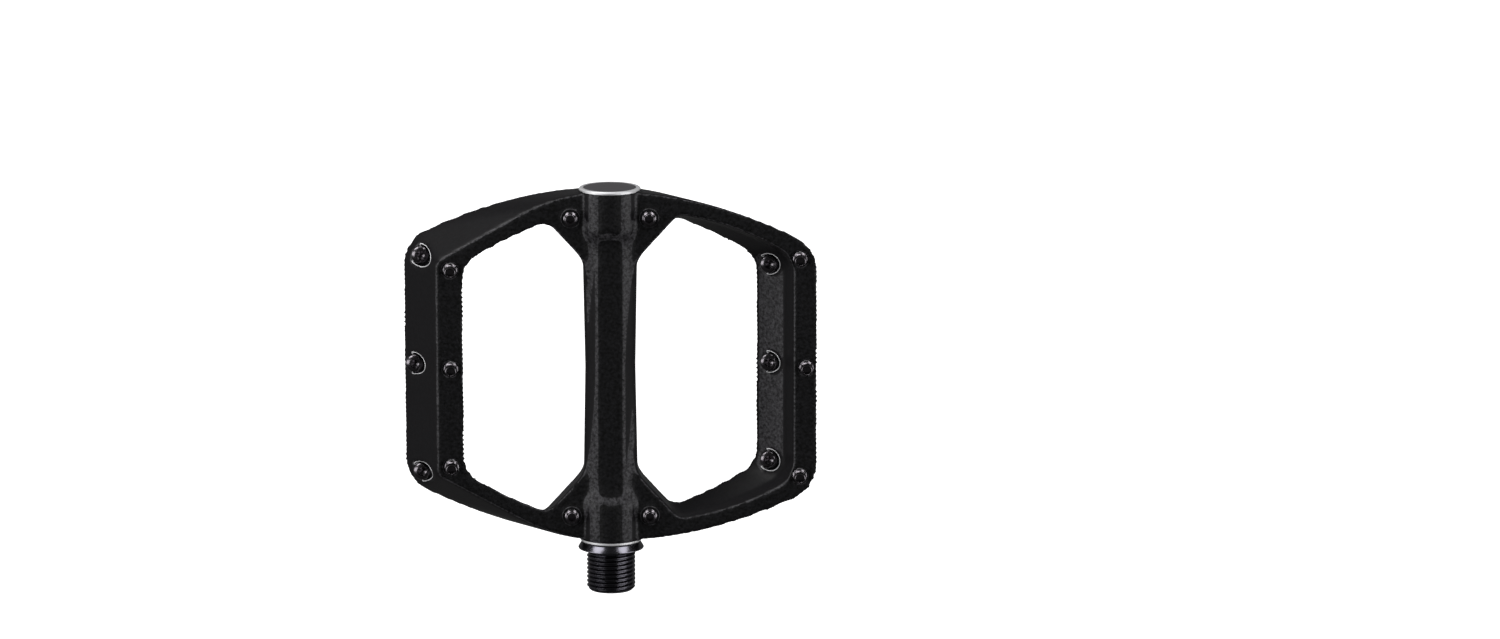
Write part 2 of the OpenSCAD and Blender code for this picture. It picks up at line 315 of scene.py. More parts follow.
@dataclass(frozen=True)
class Finish:
    """A surface finish: what the stuff is and how its surface was made.

    The grain is a noise whose size is real, in millimetres. It shifts the colour between two tones,
    the roughness between two values, and raises the surface a little.
    """

    name: str
    dark: str
    light: str
    metallic: float
    smooth: float
    rough: float
    grain_mm: float
    bump_mm: float
    specular: float = 0.5
    detail: float = 4.0
    breakup: float = 0.6
    relief: float = 0.8

    def material(self) -> bpy.types.Material:
        """Makes the material once, and gives the same one after that."""
        known = bpy.data.materials.get(self.name)
        if known is not None:
            return known
        made = bpy.data.materials.new(self.name)
        made.use_nodes = True
        tree = made.node_tree
        tree.nodes.clear()
        place = add_node(tree, "ShaderNodeTexCoord")
        shader = self.shader(tree, place)
        add_node(tree, "ShaderNodeOutputMaterial", links={"Surface": shader.outputs["BSDF"]})
        return made

    def shader(self, tree: bpy.types.NodeTree, place: bpy.types.Node) -> bpy.types.Node:
        """Builds the grain and the surface shader.

        Args:
            tree: The material's node tree.
            place: The texture coordinate node.

        Returns:
            The principled shader node.
        """
        grain = add_node(
            tree, "ShaderNodeTexNoise",
            {"Scale": 1 / (self.grain_mm * MM), "Detail": self.detail, "Roughness": self.breakup},
            {"Vector": place.outputs["Object"]},
        )
        tone = add_node(
            tree, "ShaderNodeMix",
            {"data_type": "RGBA", "6": linear(self.dark), "7": linear(self.light)},
            {"0": grain.outputs["Fac"]},
        )
        polish = add_node(
            tree, "ShaderNodeMapRange", {"To Min": self.smooth, "To Max": self.rough},
            {"Value": grain.outputs["Fac"]},
        )
        relief = add_node(
            tree, "ShaderNodeBump", {"Strength": self.relief, "Distance": self.bump_mm * MM},
            {"Height": grain.outputs["Fac"]},
        )
        return self.surface(tree, tone, polish, relief)

    def surface(
        self, tree: bpy.types.NodeTree, tone: bpy.types.Node, polish: bpy.types.Node, relief: bpy.types.Node,
    ) -> bpy.types.Node:
        """Joins colour, polish and relief in the surface shader.

        Args:
            tree: The material's node tree.
            tone: The node that mixes the colour.
            polish: The node that gives the roughness.
            relief: The node that gives the small relief.

        Returns:
            The principled shader node.
        """
        return add_node(
            tree, "ShaderNodeBsdfPrincipled",
            {"Metallic": self.metallic, "Specular IOR Level": self.specular},
            {
                "Base Color": tone.outputs[2],
                "Roughness": polish.outputs["Result"],
                "Normal": relief.outputs["Normal"],
            },
        )


@dataclass(frozen=True)
class ForgedBlack(Finish):
    """Black paint over a blasted forging.

    Flat faces keep the grit, slanted walls are smoother, and the rounded edges between them carry
    a painted highlight: a lighter colour, broken by the grit, for the light that they catch.
    """

    wall_dark: str = "#0f0e10"
    wall_light: str = "#141315"
    # Painted highlight colour of the rounded edges between face and wall, for the light that they catch.
    edge: str = "#454447"
    speck_mm: float = 0.8
    grit_detail: float = 3.0
    grit_breakup: float = 0.65
    grit_low: float = 0.35
    grit_high: float = 0.65
    wall_level: float = 0.80
    face_level: float = 0.96
    # Band of normal heights where the painted edge highlight lies.
    highlight_level: float = 0.83
    highlight_band: float = 0.1
    wall_relief: float = 0.12

    def shader(self, tree: bpy.types.NodeTree, place: bpy.types.Node) -> bpy.types.Node:
        """Builds the gritty face, the satin wall, the change between them and the painted edge highlight.

        Args:
            tree: The material's node tree.
            place: The texture coordinate node.

        Returns:
            The principled shader node.
        """
        up = add_node(tree, "ShaderNodeSeparateXYZ", links={"0": place.outputs["Normal"]})
        level = add_node(tree, "ShaderNodeMath", {"operation": "ABSOLUTE"}, {"0": up.outputs["Z"]})
        facing = add_node(
            tree, "ShaderNodeMapRange",
            {"From Min": self.wall_level, "From Max": self.face_level, "interpolation_type": "SMOOTHSTEP"},
            {"Value": level.outputs[0]},
        )
        grit = add_node(
            tree, "ShaderNodeTexNoise",
            {"Scale": 1 / (self.grain_mm * MM), "Detail": self.grit_detail, "Roughness": self.grit_breakup},
            {"Vector": place.outputs["Object"]},
        )
        specks = add_node(
            tree, "ShaderNodeTexVoronoi", {"Scale": 1 / (self.speck_mm * MM)},
            {"Vector": place.outputs["Object"]},
        )
        cast = add_node(
            tree, "ShaderNodeMapRange", {"From Min": self.grit_low, "From Max": self.grit_high},
            {"Value": grit.outputs["Fac"]},
        )
        wall, face = (
            add_node(
                tree, "ShaderNodeMix", {"data_type": "RGBA", "6": linear(dark), "7": linear(light)},
                {"0": cast.outputs["Result"]},
            )
            for dark, light in ((self.wall_dark, self.wall_light), (self.dark, self.light))
        )
        plain = add_node(
            tree, "ShaderNodeMix", {"data_type": "RGBA"},
            {"0": facing.outputs["Result"], "6": wall.outputs[2], "7": face.outputs[2]},
        )
        # Painted highlight: where the normal leans between face and wall, the rounded edges turn lighter,
        # broken by the grit.
        highlight_mask = add_node(
            tree, "ShaderNodeMath",
            {"operation": "COMPARE", "1": self.highlight_level, "2": self.highlight_band},
            {"0": level.outputs[0]},
        )
        painted_highlight = add_node(
            tree, "ShaderNodeMath", {"operation": "MULTIPLY"},
            {"0": highlight_mask.outputs[0], "1": cast.outputs["Result"]},
        )
        tone = add_node(
            tree, "ShaderNodeMix", {"data_type": "RGBA", "7": linear(self.edge)},
            {"0": painted_highlight.outputs[0], "6": plain.outputs[2]},
        )
        polish = add_node(
            tree, "ShaderNodeMapRange", {"To Min": self.smooth, "To Max": self.rough},
            {"Value": facing.outputs["Result"]},
        )
        height = add_node(
            tree, "ShaderNodeMath", {"operation": "ADD"},
            {"0": specks.outputs["Distance"], "1": grit.outputs["Fac"]},
        )
        depth = add_node(
            tree, "ShaderNodeMapRange", {"To Min": self.wall_relief, "To Max": 1.0},
            {"Value": facing.outputs["Result"]},
        )
        relief = add_node(
            tree, "ShaderNodeBump", {"Distance": self.bump_mm * MM},
            {"Height": height.outputs[0], "Strength": depth.outputs["Result"]},
        )
        return self.surface(tree, tone, polish, relief)


# Black paint over blasted aluminium: gritty on the flats, satin on the walls, with a painted highlight on the
# rounded edges between them. The real grit is about
# 0.2 mm, which is too fine to show from here, so it is drawn about four times coarser.
FORGED_BLACK = ForgedBlack(
    "forged_aluminium_grainy_black", "#000000", "#161618", 0.0, 0.36, 0.55, 0.9, 0.1, specular=0.16,
)
# Freshly turned aluminium: fine tool marks scatter the light, so it looks nearly white from every side.
TURNED_ALUMINIUM = Finish("turned_aluminium_bright", "#d2d2d4", "#e8e8ea", 0.6, 0.4, 0.52, 0.3, 0.004)
# Drilled wall with the coat run into it: dull dark metal, in shade most of the time.
DRILLED_ALUMINIUM = Finish("drilled_aluminium_dull", "#38383a", "#4a4a4c", 1.0, 0.34, 0.46, 0.25, 0.01)
# Rim bared where the drill broke the coat: bright and a little torn, so it catches light all round.
BARED_RIM = Finish("aluminium_rim_bared", "#d6d6d8", "#f0f0f2", 0.2, 0.45, 0.58, 0.25, 0.01)
# Chromoly with a dark polish: mirror-like and almost black between its reflections.
POLISHED_GUNMETAL = Finish("polished_gunmetal_chromoly", "#545359", "#5f5e65", 1.0, 0.18, 0.24, 1.5, 0.001)
# Black oxide on the pins: dark and slightly oily.
BLACK_OXIDE = Finish("black_oxide_steel", "#5a575b", "#726e72", 1.0, 0.16, 0.3, 0.5, 0.004)
# Moulded nylon cap: smooth dark grey with a soft sheen.
MOULDED_CAP = Finish("moulded_nylon_dark_grey", "#3d3b3e", "#454346", 0.0, 0.4, 0.5, 0.6, 0.004)
# Nitrile rubber: dull black.
NITRILE_RUBBER = Finish("nitrile_rubber_black", "#131313", "#1c1c1c", 0.0, 0.6, 0.75, 0.5, 0.01)
# Sintered bronze: warm, with pores.
SINTERED_BRONZE = Finish("sintered_bronze_porous", "#7a5a33", "#a37c4c", 1.0, 0.35, 0.55, 0.25, 0.01)
# Ground bearing steel: cool and bright.
GROUND_STEEL = Finish("ground_bearing_steel", "#a9abae", "#c3c5c8", 1.0, 0.12, 0.22, 0.4, 0.002)
# Stamped brass of the ball cage.
STAMPED_BRASS = Finish("stamped_brass_satin", "#9c7b3c", "#b8954f", 1.0, 0.25, 0.4, 0.5, 0.004)
# Zinc-plated steel of nut, washer and circlip.
ZINC_STEEL = Finish("zinc_plated_steel", "#8d9094", "#a8abae", 1.0, 0.25, 0.4, 0.6, 0.004)


def dress(piece: bpy.types.Object, finish: Finish) -> None:
    """Gives a whole piece one finish.

    Args:
        piece: The piece or CAD node.
        finish: Its finish.
    """
    piece.data.materials.clear()
    piece.data.materials.append(finish.material())


def dress_cut(tool: bpy.types.Object, finishes: Sequence[Finish], place: int) -> None:
    """Gives a blank its finishes, or a cutting tool the one that the faces it cuts will show.

    Args:
        tool: The blank or the cutting tool.
        finishes: The finishes of the piece that is cut, in the order of its slots.
        place: Which of them the cut faces get.
    """
    tool.data.materials.clear()
    for finish in finishes:
        tool.data.materials.append(finish.material())
    for face in tool.data.polygons:
        face.material_index = place


def hand_over(piece: bpy.types.Object, body: Body, nodes: Iterable[str] = ()) -> None:
    """Puts a finished piece on its body and hides the CAD nodes that it replaces.

    Args:
        piece: The finished piece.
        body: The body it rides on.
        nodes: CAD nodes that it replaces.
    """
    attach(piece, body.value)
    names = list(nodes)
    if names:
        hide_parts(*names)
    faces = len(piece.data.polygons)
    LOG.info("%s rides on %s with %d faces", piece.name, body.value, faces)


# --- sub-assemblies ------------------------------------------------------------------------------


@dataclass
class PinPlan:
    """Where the pins stand, from the hub's middle, in millimetres, on the upper face."""

    mid_y: float = 54.8
    rail_face_z: float = 6.5
    hub_face_z: float = 4.95
    inner_face_z: float = 6.11
    outer_row: tuple[Station, ...] = ((55.1, 32.2), (57.0, 0.0), (55.1, -32.2))
    inner_row: tuple[Station, ...] = ((-46.3, 29.2), (-46.3, 0.0), (-46.3, -29.2))
    hub_row: tuple[Station, ...] = ((11.4, 44.2), (-11.4, 44.2), (-11.4, -44.2), (11.4, -44.2))

    def at(self, row: Sequence[Station], z: float) -> list[Point]:
        """Lists full places of a row.

        Args:
            row: Places across the frame.
            z: Height of the face.

        Returns:
            Places in the row frame, in millimetres.
        """
        return [(x, self.mid_y + y, z) for x, y in row]


@dataclass
class PlatformFrame:
    """The forged frame with its drilled, counterbored and turned places."""

    pins: PinPlan
    voxel_mm: float = 0.56
    soften_steps: int = 8
    askew: Point = (0.43, 0.31, 0.57)
    root_y: float = 37.2
    root_reach: float = 8.0
    root_r: float = 9.6
    root_fade: float = 1.5
    root_gain: float = 2.0
    blend_steps: int = 60
    hub_start: float = 2.3
    hub_end: float = 107.3
    hub_r: float = 9.0
    chamfer: float = 0.28
    cap_seat_r: float = 7.75
    cap_seat_depth: float = 1.4
    bearing_r: float = 6.5
    bearing_start: float = 92.5
    bush_r: float = 6.0
    bush_end: float = 20.9
    seal_r: float = 7.0
    seal_end: float = 5.8
    bore_r: float = 5.3
    pin_r: float = 2.03
    tip_ring_r: float = 2.5
    counterbore_r: float = 3.2
    seat_depth: float = 3.1
    boss_r: float = 2.95
    rim_mm: float = 0.15
    boss_profile: tuple[Station, ...] = ((0, 0.15), (4.75, 0.15), (5.05, -0.05), (5.2, -0.25))
    clear_r: float = 14.0
    overrun: float = 3.0
    rail_thickness: float = 13.0
    mouth_depth: float = 0.24
    mouth_start: float = 0.02
    mouth_lip: float = 0.02
    mouth_taper: float = 0.03
    drill_clear: float = 2.0
    hub_drill_depth: float = 4.0
    ring_back: float = 0.5
    ring_skin: float = 0.03
    ring_lip: float = 0.04
    ring_face: float = 0.05
    finishes: tuple[Finish, ...] = (FORGED_BLACK, DRILLED_ALUMINIUM, BLACK_OXIDE)

    def blank(self) -> bpy.types.Object:
        """Copies the CAD frame, welds it and softens its edges as forging and blasting do.

        The skin is laid while the frame stands askew, so that no long edge runs along its grid.
        """
        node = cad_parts["platform_body"]
        piece = node.copy()
        piece.data = node.data.copy()
        piece.name = "forged_frame"
        piece.parent = None
        piece.matrix_world = Matrix.Identity(4)
        bpy.context.scene.collection.objects.link(piece)
        face_outward(piece)
        turn = Euler(self.askew).to_matrix().to_4x4()
        piece.matrix_world = turn
        settle(piece)
        skin = piece.modifiers.new("Skin", "REMESH")
        skin.mode = "VOXEL"
        skin.voxel_size = self.voxel_mm * MM
        bpy.ops.object.modifier_apply(modifier=skin.name)
        piece.matrix_world = turn.inverted()
        settle(piece)
        soften = piece.modifiers.new("Soften", "SMOOTH")
        soften.factor = 0.5
        soften.iterations = self.soften_steps
        bpy.ops.object.modifier_apply(modifier=soften.name)
        self.blend_roots(piece)
        return piece

    def blend_roots(self, piece: bpy.types.Object) -> None:
        """Runs the round hub ends softly into the eight-sided tube.

        Args:
            piece: The softened blank.
        """
        root = piece.vertex_groups.new(name="hub_root")
        for point in piece.data.vertices:
            x, y, z = (c / MM for c in point.co)
            along = 1 - abs(abs(y - self.pins.mid_y) - self.root_y) / self.root_reach
            inward = (self.root_r - math.hypot(x, z)) / self.root_fade
            share = min(along * self.root_gain, inward, 1.0)
            if share > 0:
                root.add([point.index], share, "REPLACE")
        pick_only(piece)
        blend = piece.modifiers.new("Blend", "SMOOTH")
        blend.vertex_group = root.name
        blend.factor = 0.5
        blend.iterations = self.blend_steps
        bpy.ops.object.modifier_apply(modifier=blend.name)
        piece.vertex_groups.clear()

    def bared_rims(self, piece: bpy.types.Object) -> bpy.types.Object:
        """Draws the thin bright rim at each hole's mouth, where the tool broke through the paint.

        Args:
            piece: The drilled frame.

        Returns:
            All the rims as one piece.
        """
        rims = piece.copy()
        rims.data = piece.data.copy()
        rims.name = "bared_hole_rims"
        bpy.context.scene.collection.objects.link(rims)
        bare = self.finishes.index(DRILLED_ALUMINIUM)
        sides: dict[tuple[int, int], set[bool]] = {}
        for face in rims.data.polygons:
            for key in face.edge_keys:
                sides.setdefault(key, set()).add(face.material_index == bare)
        pick_only(rims)
        bpy.ops.object.mode_set(mode="EDIT")
        bpy.ops.mesh.select_mode(type="EDGE")
        bpy.ops.mesh.select_all(action="DESELECT")
        bpy.ops.object.mode_set(mode="OBJECT")
        for edge in rims.data.edges:
            edge.select = len(sides.get(edge.key, ())) == 2
        bpy.ops.object.mode_set(mode="EDIT")
        bpy.ops.mesh.select_all(action="INVERT")
        bpy.ops.mesh.delete(type="EDGE_FACE")
        bpy.ops.object.mode_set(mode="OBJECT")
        bpy.ops.object.convert(target="CURVE")
        wire = bpy.context.active_object
        wire.data.bevel_depth = self.rim_mm * MM
        wire.data.bevel_resolution = 1
        bpy.ops.object.convert(target="MESH")
        rims = bpy.context.active_object
        dress(rims, BARED_RIM)
        smooth_by_angle(rims, 60)
        return rims

    def raise_bosses(self, piece: bpy.types.Object) -> None:
        """Adds the low round boss under each hub pin, on both faces.

        Args:
            piece: The softened blank.
        """
        boss = turn_on_axle("boss", [(z, self.boss_r + wider) for z, wider in self.boss_profile], 64)
        stand_up(boss)
        places = self.pins.at(self.pins.hub_row, 0)
        combine(piece, both_sides(boss, places, "bosses"), Cut.ADD)

    def bore_axle(self, piece: bpy.types.Object) -> None:
        """Cuts the seats along the axle.

        Args:
            piece: The softened blank.
        """
        clear, step = self.clear_r, SHOULDER
        cut_in = self.hub_start + self.chamfer
        cut_out = self.hub_end - self.chamfer
        cap_seat = self.hub_end - self.cap_seat_depth
        combine(piece, turn_on_axle("axle_tool", [
            (self.hub_start - self.overrun, clear), (cut_in, clear), (cut_in + step, self.seal_r),
            (self.seal_end, self.seal_r), (self.seal_end + step, self.bush_r),
            (self.bush_end, self.bush_r), (self.bush_end + step, self.bore_r),
            (self.bearing_start - step, self.bore_r), (self.bearing_start, self.bearing_r),
            (cap_seat, self.bearing_r), (cap_seat + step, self.cap_seat_r),
            (cut_out - step, self.cap_seat_r), (cut_out, clear), (self.hub_end + self.overrun, clear),
        ]), Cut.TAKE)

    def drill_pins(self, piece: bpy.types.Object) -> None:
        """Drills the pin holes; the walls are bare metal, dulled where the coat has run in.

        Args:
            piece: The softened blank.
        """
        ring = turn_on_axle("rail_drill", [
            (-self.rail_thickness, self.counterbore_r), (-self.seat_depth, self.counterbore_r),
            (-self.seat_depth + SHOULDER, self.pin_r), (-self.mouth_depth, self.pin_r + self.mouth_start),
            (self.mouth_lip, self.tip_ring_r - self.mouth_taper), (self.drill_clear, self.tip_ring_r),
        ], 64)
        stand_up(ring)
        dress_cut(ring, self.finishes, 1)
        plan = self.pins
        rails = plan.at(plan.outer_row, plan.rail_face_z) + plan.at(plan.inner_row, plan.inner_face_z)
        combine(piece, both_sides(ring, rails, "rail_drills"), Cut.TAKE)
        hub = rod("hub_drill", self.pin_r, -self.hub_drill_depth, self.overrun)
        dress_cut(hub, self.finishes, 2)
        combine(piece, both_sides(hub, plan.at(plan.hub_row, plan.hub_face_z), "hub_drills"), Cut.TAKE)

    def end_ring(self, name: str, outboard: bool) -> bpy.types.Object:
        """Makes the bright turned ring at one hub end.

        Args:
            name: The piece's name.
            outboard: Whether it is the outboard end.

        Returns:
            The ring, a touch inside the painted skin.
        """
        inner = self.cap_seat_r if outboard else self.seal_r
        end = self.hub_end if outboard else self.hub_start
        way = -1 if outboard else 1
        outer = [
            (end + way * (self.chamfer + self.ring_back), self.hub_r - self.ring_skin),
            (end + way * self.chamfer, self.hub_r - self.ring_skin),
            (end + way * self.ring_lip, self.hub_r - self.chamfer),
            (end, self.hub_r - self.chamfer - self.ring_face),
        ]
        ring = turn_on_axle(name, outer, 128)
        hole = turn_on_axle("ring_hole", [(end - self.overrun, inner), (end + self.overrun, inner)], 128)
        combine(ring, hole, Cut.TAKE)
        dress(ring, TURNED_ALUMINIUM)
        smooth_by_angle(ring, 25)
        return ring

    def build(self) -> None:
        """Builds the frame and its two end rings, and hands them over."""
        piece = self.blank()
        dress_cut(piece, self.finishes, 0)
        self.raise_bosses(piece)
        self.bore_axle(piece)
        self.drill_pins(piece)
        smooth_by_angle(piece, 35)
        rims = self.bared_rims(piece)
        hand_over(piece, Body.PLATFORM, ["platform_body"])
        hand_over(rims, Body.PLATFORM)
        for name, outboard in (("turned_ring_outboard", True), ("turned_ring_inboard", False)):
            hand_over(self.end_ring(name, outboard), Body.PLATFORM)


@dataclass
class GripPins:
    """The steel pins: stepped hollow tips through the rails, short grub screws beside the hub."""

    pins: PinPlan
    radius: float = 2.0
    head_r: float = 2.6
    head_h: float = 2.0
    seat: float = 3.1
    step: float = 1.6
    tip_r: float = 1.65
    height: float = 4.0
    tip_bore_r: float = 1.1
    key: float = 2.5
    thread_pitch: float = 0.7
    hub_height: float = 2.8
    hub_depth: float = 3.8
    hub_key_r: float = 2.0 / math.sqrt(3)
    ridge_profile: tuple[Station, ...] = ((0.10, 0.28), (0.30, 0.0), (0.40, 0.0), (0.60, 0.28))
    head_profile: tuple[Station, ...] = ((0.0, 1.05), (0.2, 0.6), (0.42, 0.22), (0.62, 0.04), (0.75, 0.0))

    def thread(self, low: float, high: float, crest: float) -> list[Station]:
        """Lists the ridges of a fine thread.

        Args:
            low: Where it starts, in millimetres.
            high: Where it ends.
            crest: Its outer radius.

        Returns:
            Stations from low to high.
        """
        turns = int((high - low) / self.thread_pitch)
        out: list[Station] = []
        for i in range(turns):
            y = low + i * self.thread_pitch
            out += [(y + along, crest - down) for along, down in self.ridge_profile]
        return out

    def rail_pin(self) -> bpy.types.Object:
        """Makes one rail pin, its face plane at zero height."""
        r, base = self.radius, -self.seat - self.head_h
        pin = turn_on_axle("rail_pin", [
            *[(base + rise, self.head_r - inset) for rise, inset in self.head_profile],
            (-self.seat - 0.1, self.head_r), (-self.seat, self.head_r - 0.1), (-self.seat + SHOULDER, r),
            *self.thread(-0.6, self.step, r), (self.step, r - 0.1), (self.step + 0.15, self.tip_r + 0.12),
            (self.step + 0.3, self.tip_r), (self.height - 0.3, self.tip_r),
            (self.height - 0.08, self.tip_r - 0.1),
            (self.height, self.tip_r - 0.25),
        ], 48)
        stand_up(pin)
        combine(pin, rod("key", self.key / math.sqrt(3), base - 1, base + 1.0, 6), Cut.TAKE)
        point = turn_on_axle("drill_point", [
            (base - 0.5, self.key / 2), (base + 1.0, self.key / 2), (base + 1.7, 0.05),
        ], 48)
        combine(pin, stand_up(point), Cut.TAKE)
        hollow = turn_on_axle("hollow", [
            (self.height - 1.8, self.tip_bore_r), (self.height - 0.2, self.tip_bore_r),
            (self.height + 0.4, self.tip_bore_r + 0.45),
        ], 48)
        combine(pin, stand_up(hollow), Cut.TAKE)
        return pin

    def hub_pin(self) -> bpy.types.Object:
        """Makes one hub pin, with a hex socket in its tip."""
        r, top = self.radius, self.hub_height
        pin = turn_on_axle("hub_pin", [
            (-self.hub_depth, r - 0.4), (-self.hub_depth + 0.4, r), (-0.3, r),
            *self.thread(-0.2, top - 1.2, r), (top - 1.0, r - 0.05), (top - 0.8, r - 0.3),
            (top - 0.25, r - 0.35), (top - 0.06, r - 0.48), (top, r - 0.6),
        ], 48)
        stand_up(pin)
        combine(pin, rod("key", self.hub_key_r, top - 1.8, top + 1, 6), Cut.TAKE)
        return pin

    def plant(self, pin: bpy.types.Object, places: Sequence[Point], name: str, half: bool) -> None:
        """Copies a pin to its places and hands the row over.

        Args:
            pin: The pin to copy.
            places: Where the row stands on the upper face.
            name: The CAD node that the row replaces.
            half: Whether the row is on the lower face.
        """
        copies = [placed_copy(pin, f"{name}_{i}", place, half) for i, place in enumerate(places)]
        row = joined(copies, name + "_steel")
        dress(row, BLACK_OXIDE)
        smooth_by_angle(row, 30)
        hand_over(row, Body.PLATFORM, [name])

    def build(self) -> None:
        """Builds every row on both faces."""
        plan = self.pins
        rail, hub = self.rail_pin(), self.hub_pin()
        for half, side in ((False, "front"), (True, "back")):
            self.plant(rail, plan.at(plan.outer_row, plan.rail_face_z), f"outer_row_pins_{side}", half)
            self.plant(rail, plan.at(plan.inner_row, plan.inner_face_z), f"inner_row_pins_{side}", half)
            self.plant(hub, plan.at(plan.hub_row, plan.hub_face_z), f"hub_pins_{side}", half)
        for pin in (rail, hub):
            bpy.data.objects.remove(pin, do_unlink=True)


@dataclass
class Spindle:
    """The axle: left-hand thread, neck, polished flange, journal, taper and hex socket."""

    crest_r: float = 7.1
    root_r: float = 6.38
    pitch: float = 1.27
    length: float = 12.5
    neck_r: float = 6.6
    neck: float = 1.2
    rim_r: float = 9.6
    flange: float = 2.0
    journal_r: float = 5.0
    journal_end: float = 23.9
    shaft_r: float = 4.0
    shoulder: float = 92.5
    seat_r: float = 3.0
    end: float = 102.4
    socket_flats: float = 8.0
    socket_depth: float = 9.0
    turns: int = 10
    crest_cut: float = 0.26
    root_fillet_r: float = 7.3
    root_fillet: float = 0.6

    def ridge(self) -> bpy.types.Object:
        """Winds the thread's ridge, falling to the right as a left-hand thread does."""
        bpy.ops.object.select_all(action="DESELECT")
        bpy.ops.mesh.primitive_circle_add(vertices=4, radius=1.0, fill_type="NOTHING", location=(0, 0, 0))
        ridge = bpy.context.active_object
        ridge.name = "thread_ridge"
        deep = self.crest_r + self.crest_cut - (self.root_r - 0.15)
        ridge.scale = (deep * MM, self.pitch * 0.485 * MM, 1)
        ridge.location = ((self.root_r - 0.15) * MM, -(self.length + 0.6) * MM, 0)
        settle(ridge)
        wind = ridge.modifiers.new("Wind", "SCREW")
        wind.axis = "Y"
        wind.angle = 2 * math.pi
        wind.screw_offset = self.pitch * MM
        wind.iterations = self.turns
        wind.steps = 72
        wind.render_steps = 72
        wind.use_merge_vertices = False
        pick_only(ridge)
        bpy.ops.object.modifier_apply(modifier=wind.name)
        bpy.ops.object.mode_set(mode="EDIT")
        bpy.ops.mesh.select_all(action="SELECT")
        bpy.ops.mesh.remove_doubles(threshold=1e-7)
        bpy.ops.mesh.select_all(action="DESELECT")
        bpy.ops.mesh.select_non_manifold()
        bpy.ops.mesh.fill_holes(sides=8)
        bpy.ops.mesh.select_all(action="SELECT")
        bpy.ops.mesh.normals_make_consistent(inside=False)
        bpy.ops.object.mode_set(mode="OBJECT")
        return ridge

    def build(self) -> None:
        """Builds the spindle in one piece and hands it over."""
        thread = turn_on_axle("spindle_thread", [
            (-self.length - 0.4, self.root_r), (-self.neck + 0.1, self.root_r),
        ])
        combine(thread, self.ridge(), Cut.ADD)
        envelope = turn_on_axle("thread_envelope", [
            (-self.length, self.crest_r - 0.95), (-self.length + 0.95, self.crest_r),
            (-self.neck - 0.25, self.crest_r), (-self.neck + 0.25, self.neck_r - 0.2),
        ], 144)
        combine(thread, envelope, Cut.KEEP)
        shank = turn_on_axle("spindle_polished", [
            (-self.neck - 0.2, self.neck_r - 0.2), (-self.neck + 0.25, self.neck_r),
            (-self.root_fillet, self.neck_r), (0, self.root_fillet_r),
            (0.02, self.rim_r - 0.22), (0.08, self.rim_r - 0.08), (0.22, self.rim_r),
            (0.38, self.rim_r - 0.02),
            (self.flange - 0.12, self.rim_r - 0.93), (self.flange, self.rim_r - 1.05),
            (self.flange + SHOULDER, self.journal_r), (self.journal_end, self.journal_r),
            (self.shoulder - 3, self.shaft_r), (self.shoulder, self.shaft_r),
            (self.shoulder + SHOULDER, self.seat_r),
            (self.end - 0.5, self.seat_r), (self.end, self.seat_r - 0.5),
        ], 144)
        combine(thread, shank, Cut.ADD)
        socket = rod("hex", self.socket_flats / math.sqrt(3), -1, self.socket_depth, 6)
        socket.rotation_euler = (-math.pi / 2, 0, 0)
        socket.location = (0, -self.length * MM, 0)
        settle(socket)
        combine(thread, socket, Cut.TAKE)
        half_flats = self.socket_flats / 2
        combine(thread, turn_on_axle("socket_mouth", [
            (-self.length - 0.3, half_flats + 1.2), (-self.length + 0.9, half_flats)
        ], 96), Cut.TAKE)
        thread.name = "spindle_chromoly"
        dress(thread, POLISHED_GUNMETAL)
        smooth_by_angle(thread, 24)
        hand_over(thread, Body.SPINDLE, ["spindle"])


@dataclass
class EndPlug:
    """The smooth plug in the outboard end."""

    disc_r: float = 7.7
    base: float = 105.9
    end: float = 107.3
    dome: float = 0.25
    plug_r: float = 6.45
    plug_start: float = 103.2
    groove_y: float = 104.6
    groove_r: float = 5.2
    groove_half: float = 0.7
    rim_break: float = 0.22
    crown_steps: int = 8

    def build(self) -> None:
        """Turns the plug with a softly domed disc and hands it over."""
        half, rings = self.groove_half, self.crown_steps
        crown = [
            (self.end + self.dome * (1 - (k / rings) ** 2),
             self.disc_r * k / rings - (self.rim_break if k == rings else 0))
            for k in range(rings, 0, -1)
        ]
        plug = turn_on_axle("end_plug", [
            (self.plug_start, self.plug_r - 0.3), (self.plug_start + 0.3, self.plug_r),
            (self.groove_y - half, self.plug_r), (self.groove_y - half + SHOULDER, self.groove_r),
            (self.groove_y + half, self.groove_r), (self.groove_y + half + SHOULDER, self.plug_r),
            (self.base, self.plug_r), (self.base + SHOULDER, self.disc_r),
            (self.end - self.rim_break, self.disc_r),
            (self.end - 0.06, self.disc_r - 0.07), *crown,
        ], 128)
        dress(plug, MOULDED_CAP)
        smooth_by_angle(plug, 30)
        hand_over(plug, Body.PLATFORM, ["end_cap"])


@dataclass
class HubInternals:
    """Bearing, bush, seals and fasteners inside the hub, which keep their CAD shapes."""

    finishes: dict[str, Finish] = field(default_factory=lambda: {
        "inboard_lip_seal": NITRILE_RUBBER,
        "inboard_bush": SINTERED_BRONZE,
        "bearing_outer_race": GROUND_STEEL,
        "bearing_inner_race": GROUND_STEEL,
        "bearing_balls": GROUND_STEEL,
        "bearing_cage": STAMPED_BRASS,
        "bearing_shield_inboard": GROUND_STEEL,
        "bearing_shield_outboard": GROUND_STEEL,
        "bearing_circlip": ZINC_STEEL,
        "lock_washer": ZINC_STEEL,
        "lock_nut": ZINC_STEEL,
        "end_cap_o_ring": NITRILE_RUBBER,
    })

    def build(self) -> None:
        """Gives each inner part its finish."""
        for name, finish in self.finishes.items():
            dress(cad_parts[name], finish)
            LOG.info("%s wears %s", name, finish.name)


@dataclass(frozen=True)
class Softbox:
    """One softbox: its name, its place and size in metres, and its power in watts."""

    name: str
    place: Point
    size: tuple[float, float]
    power: float


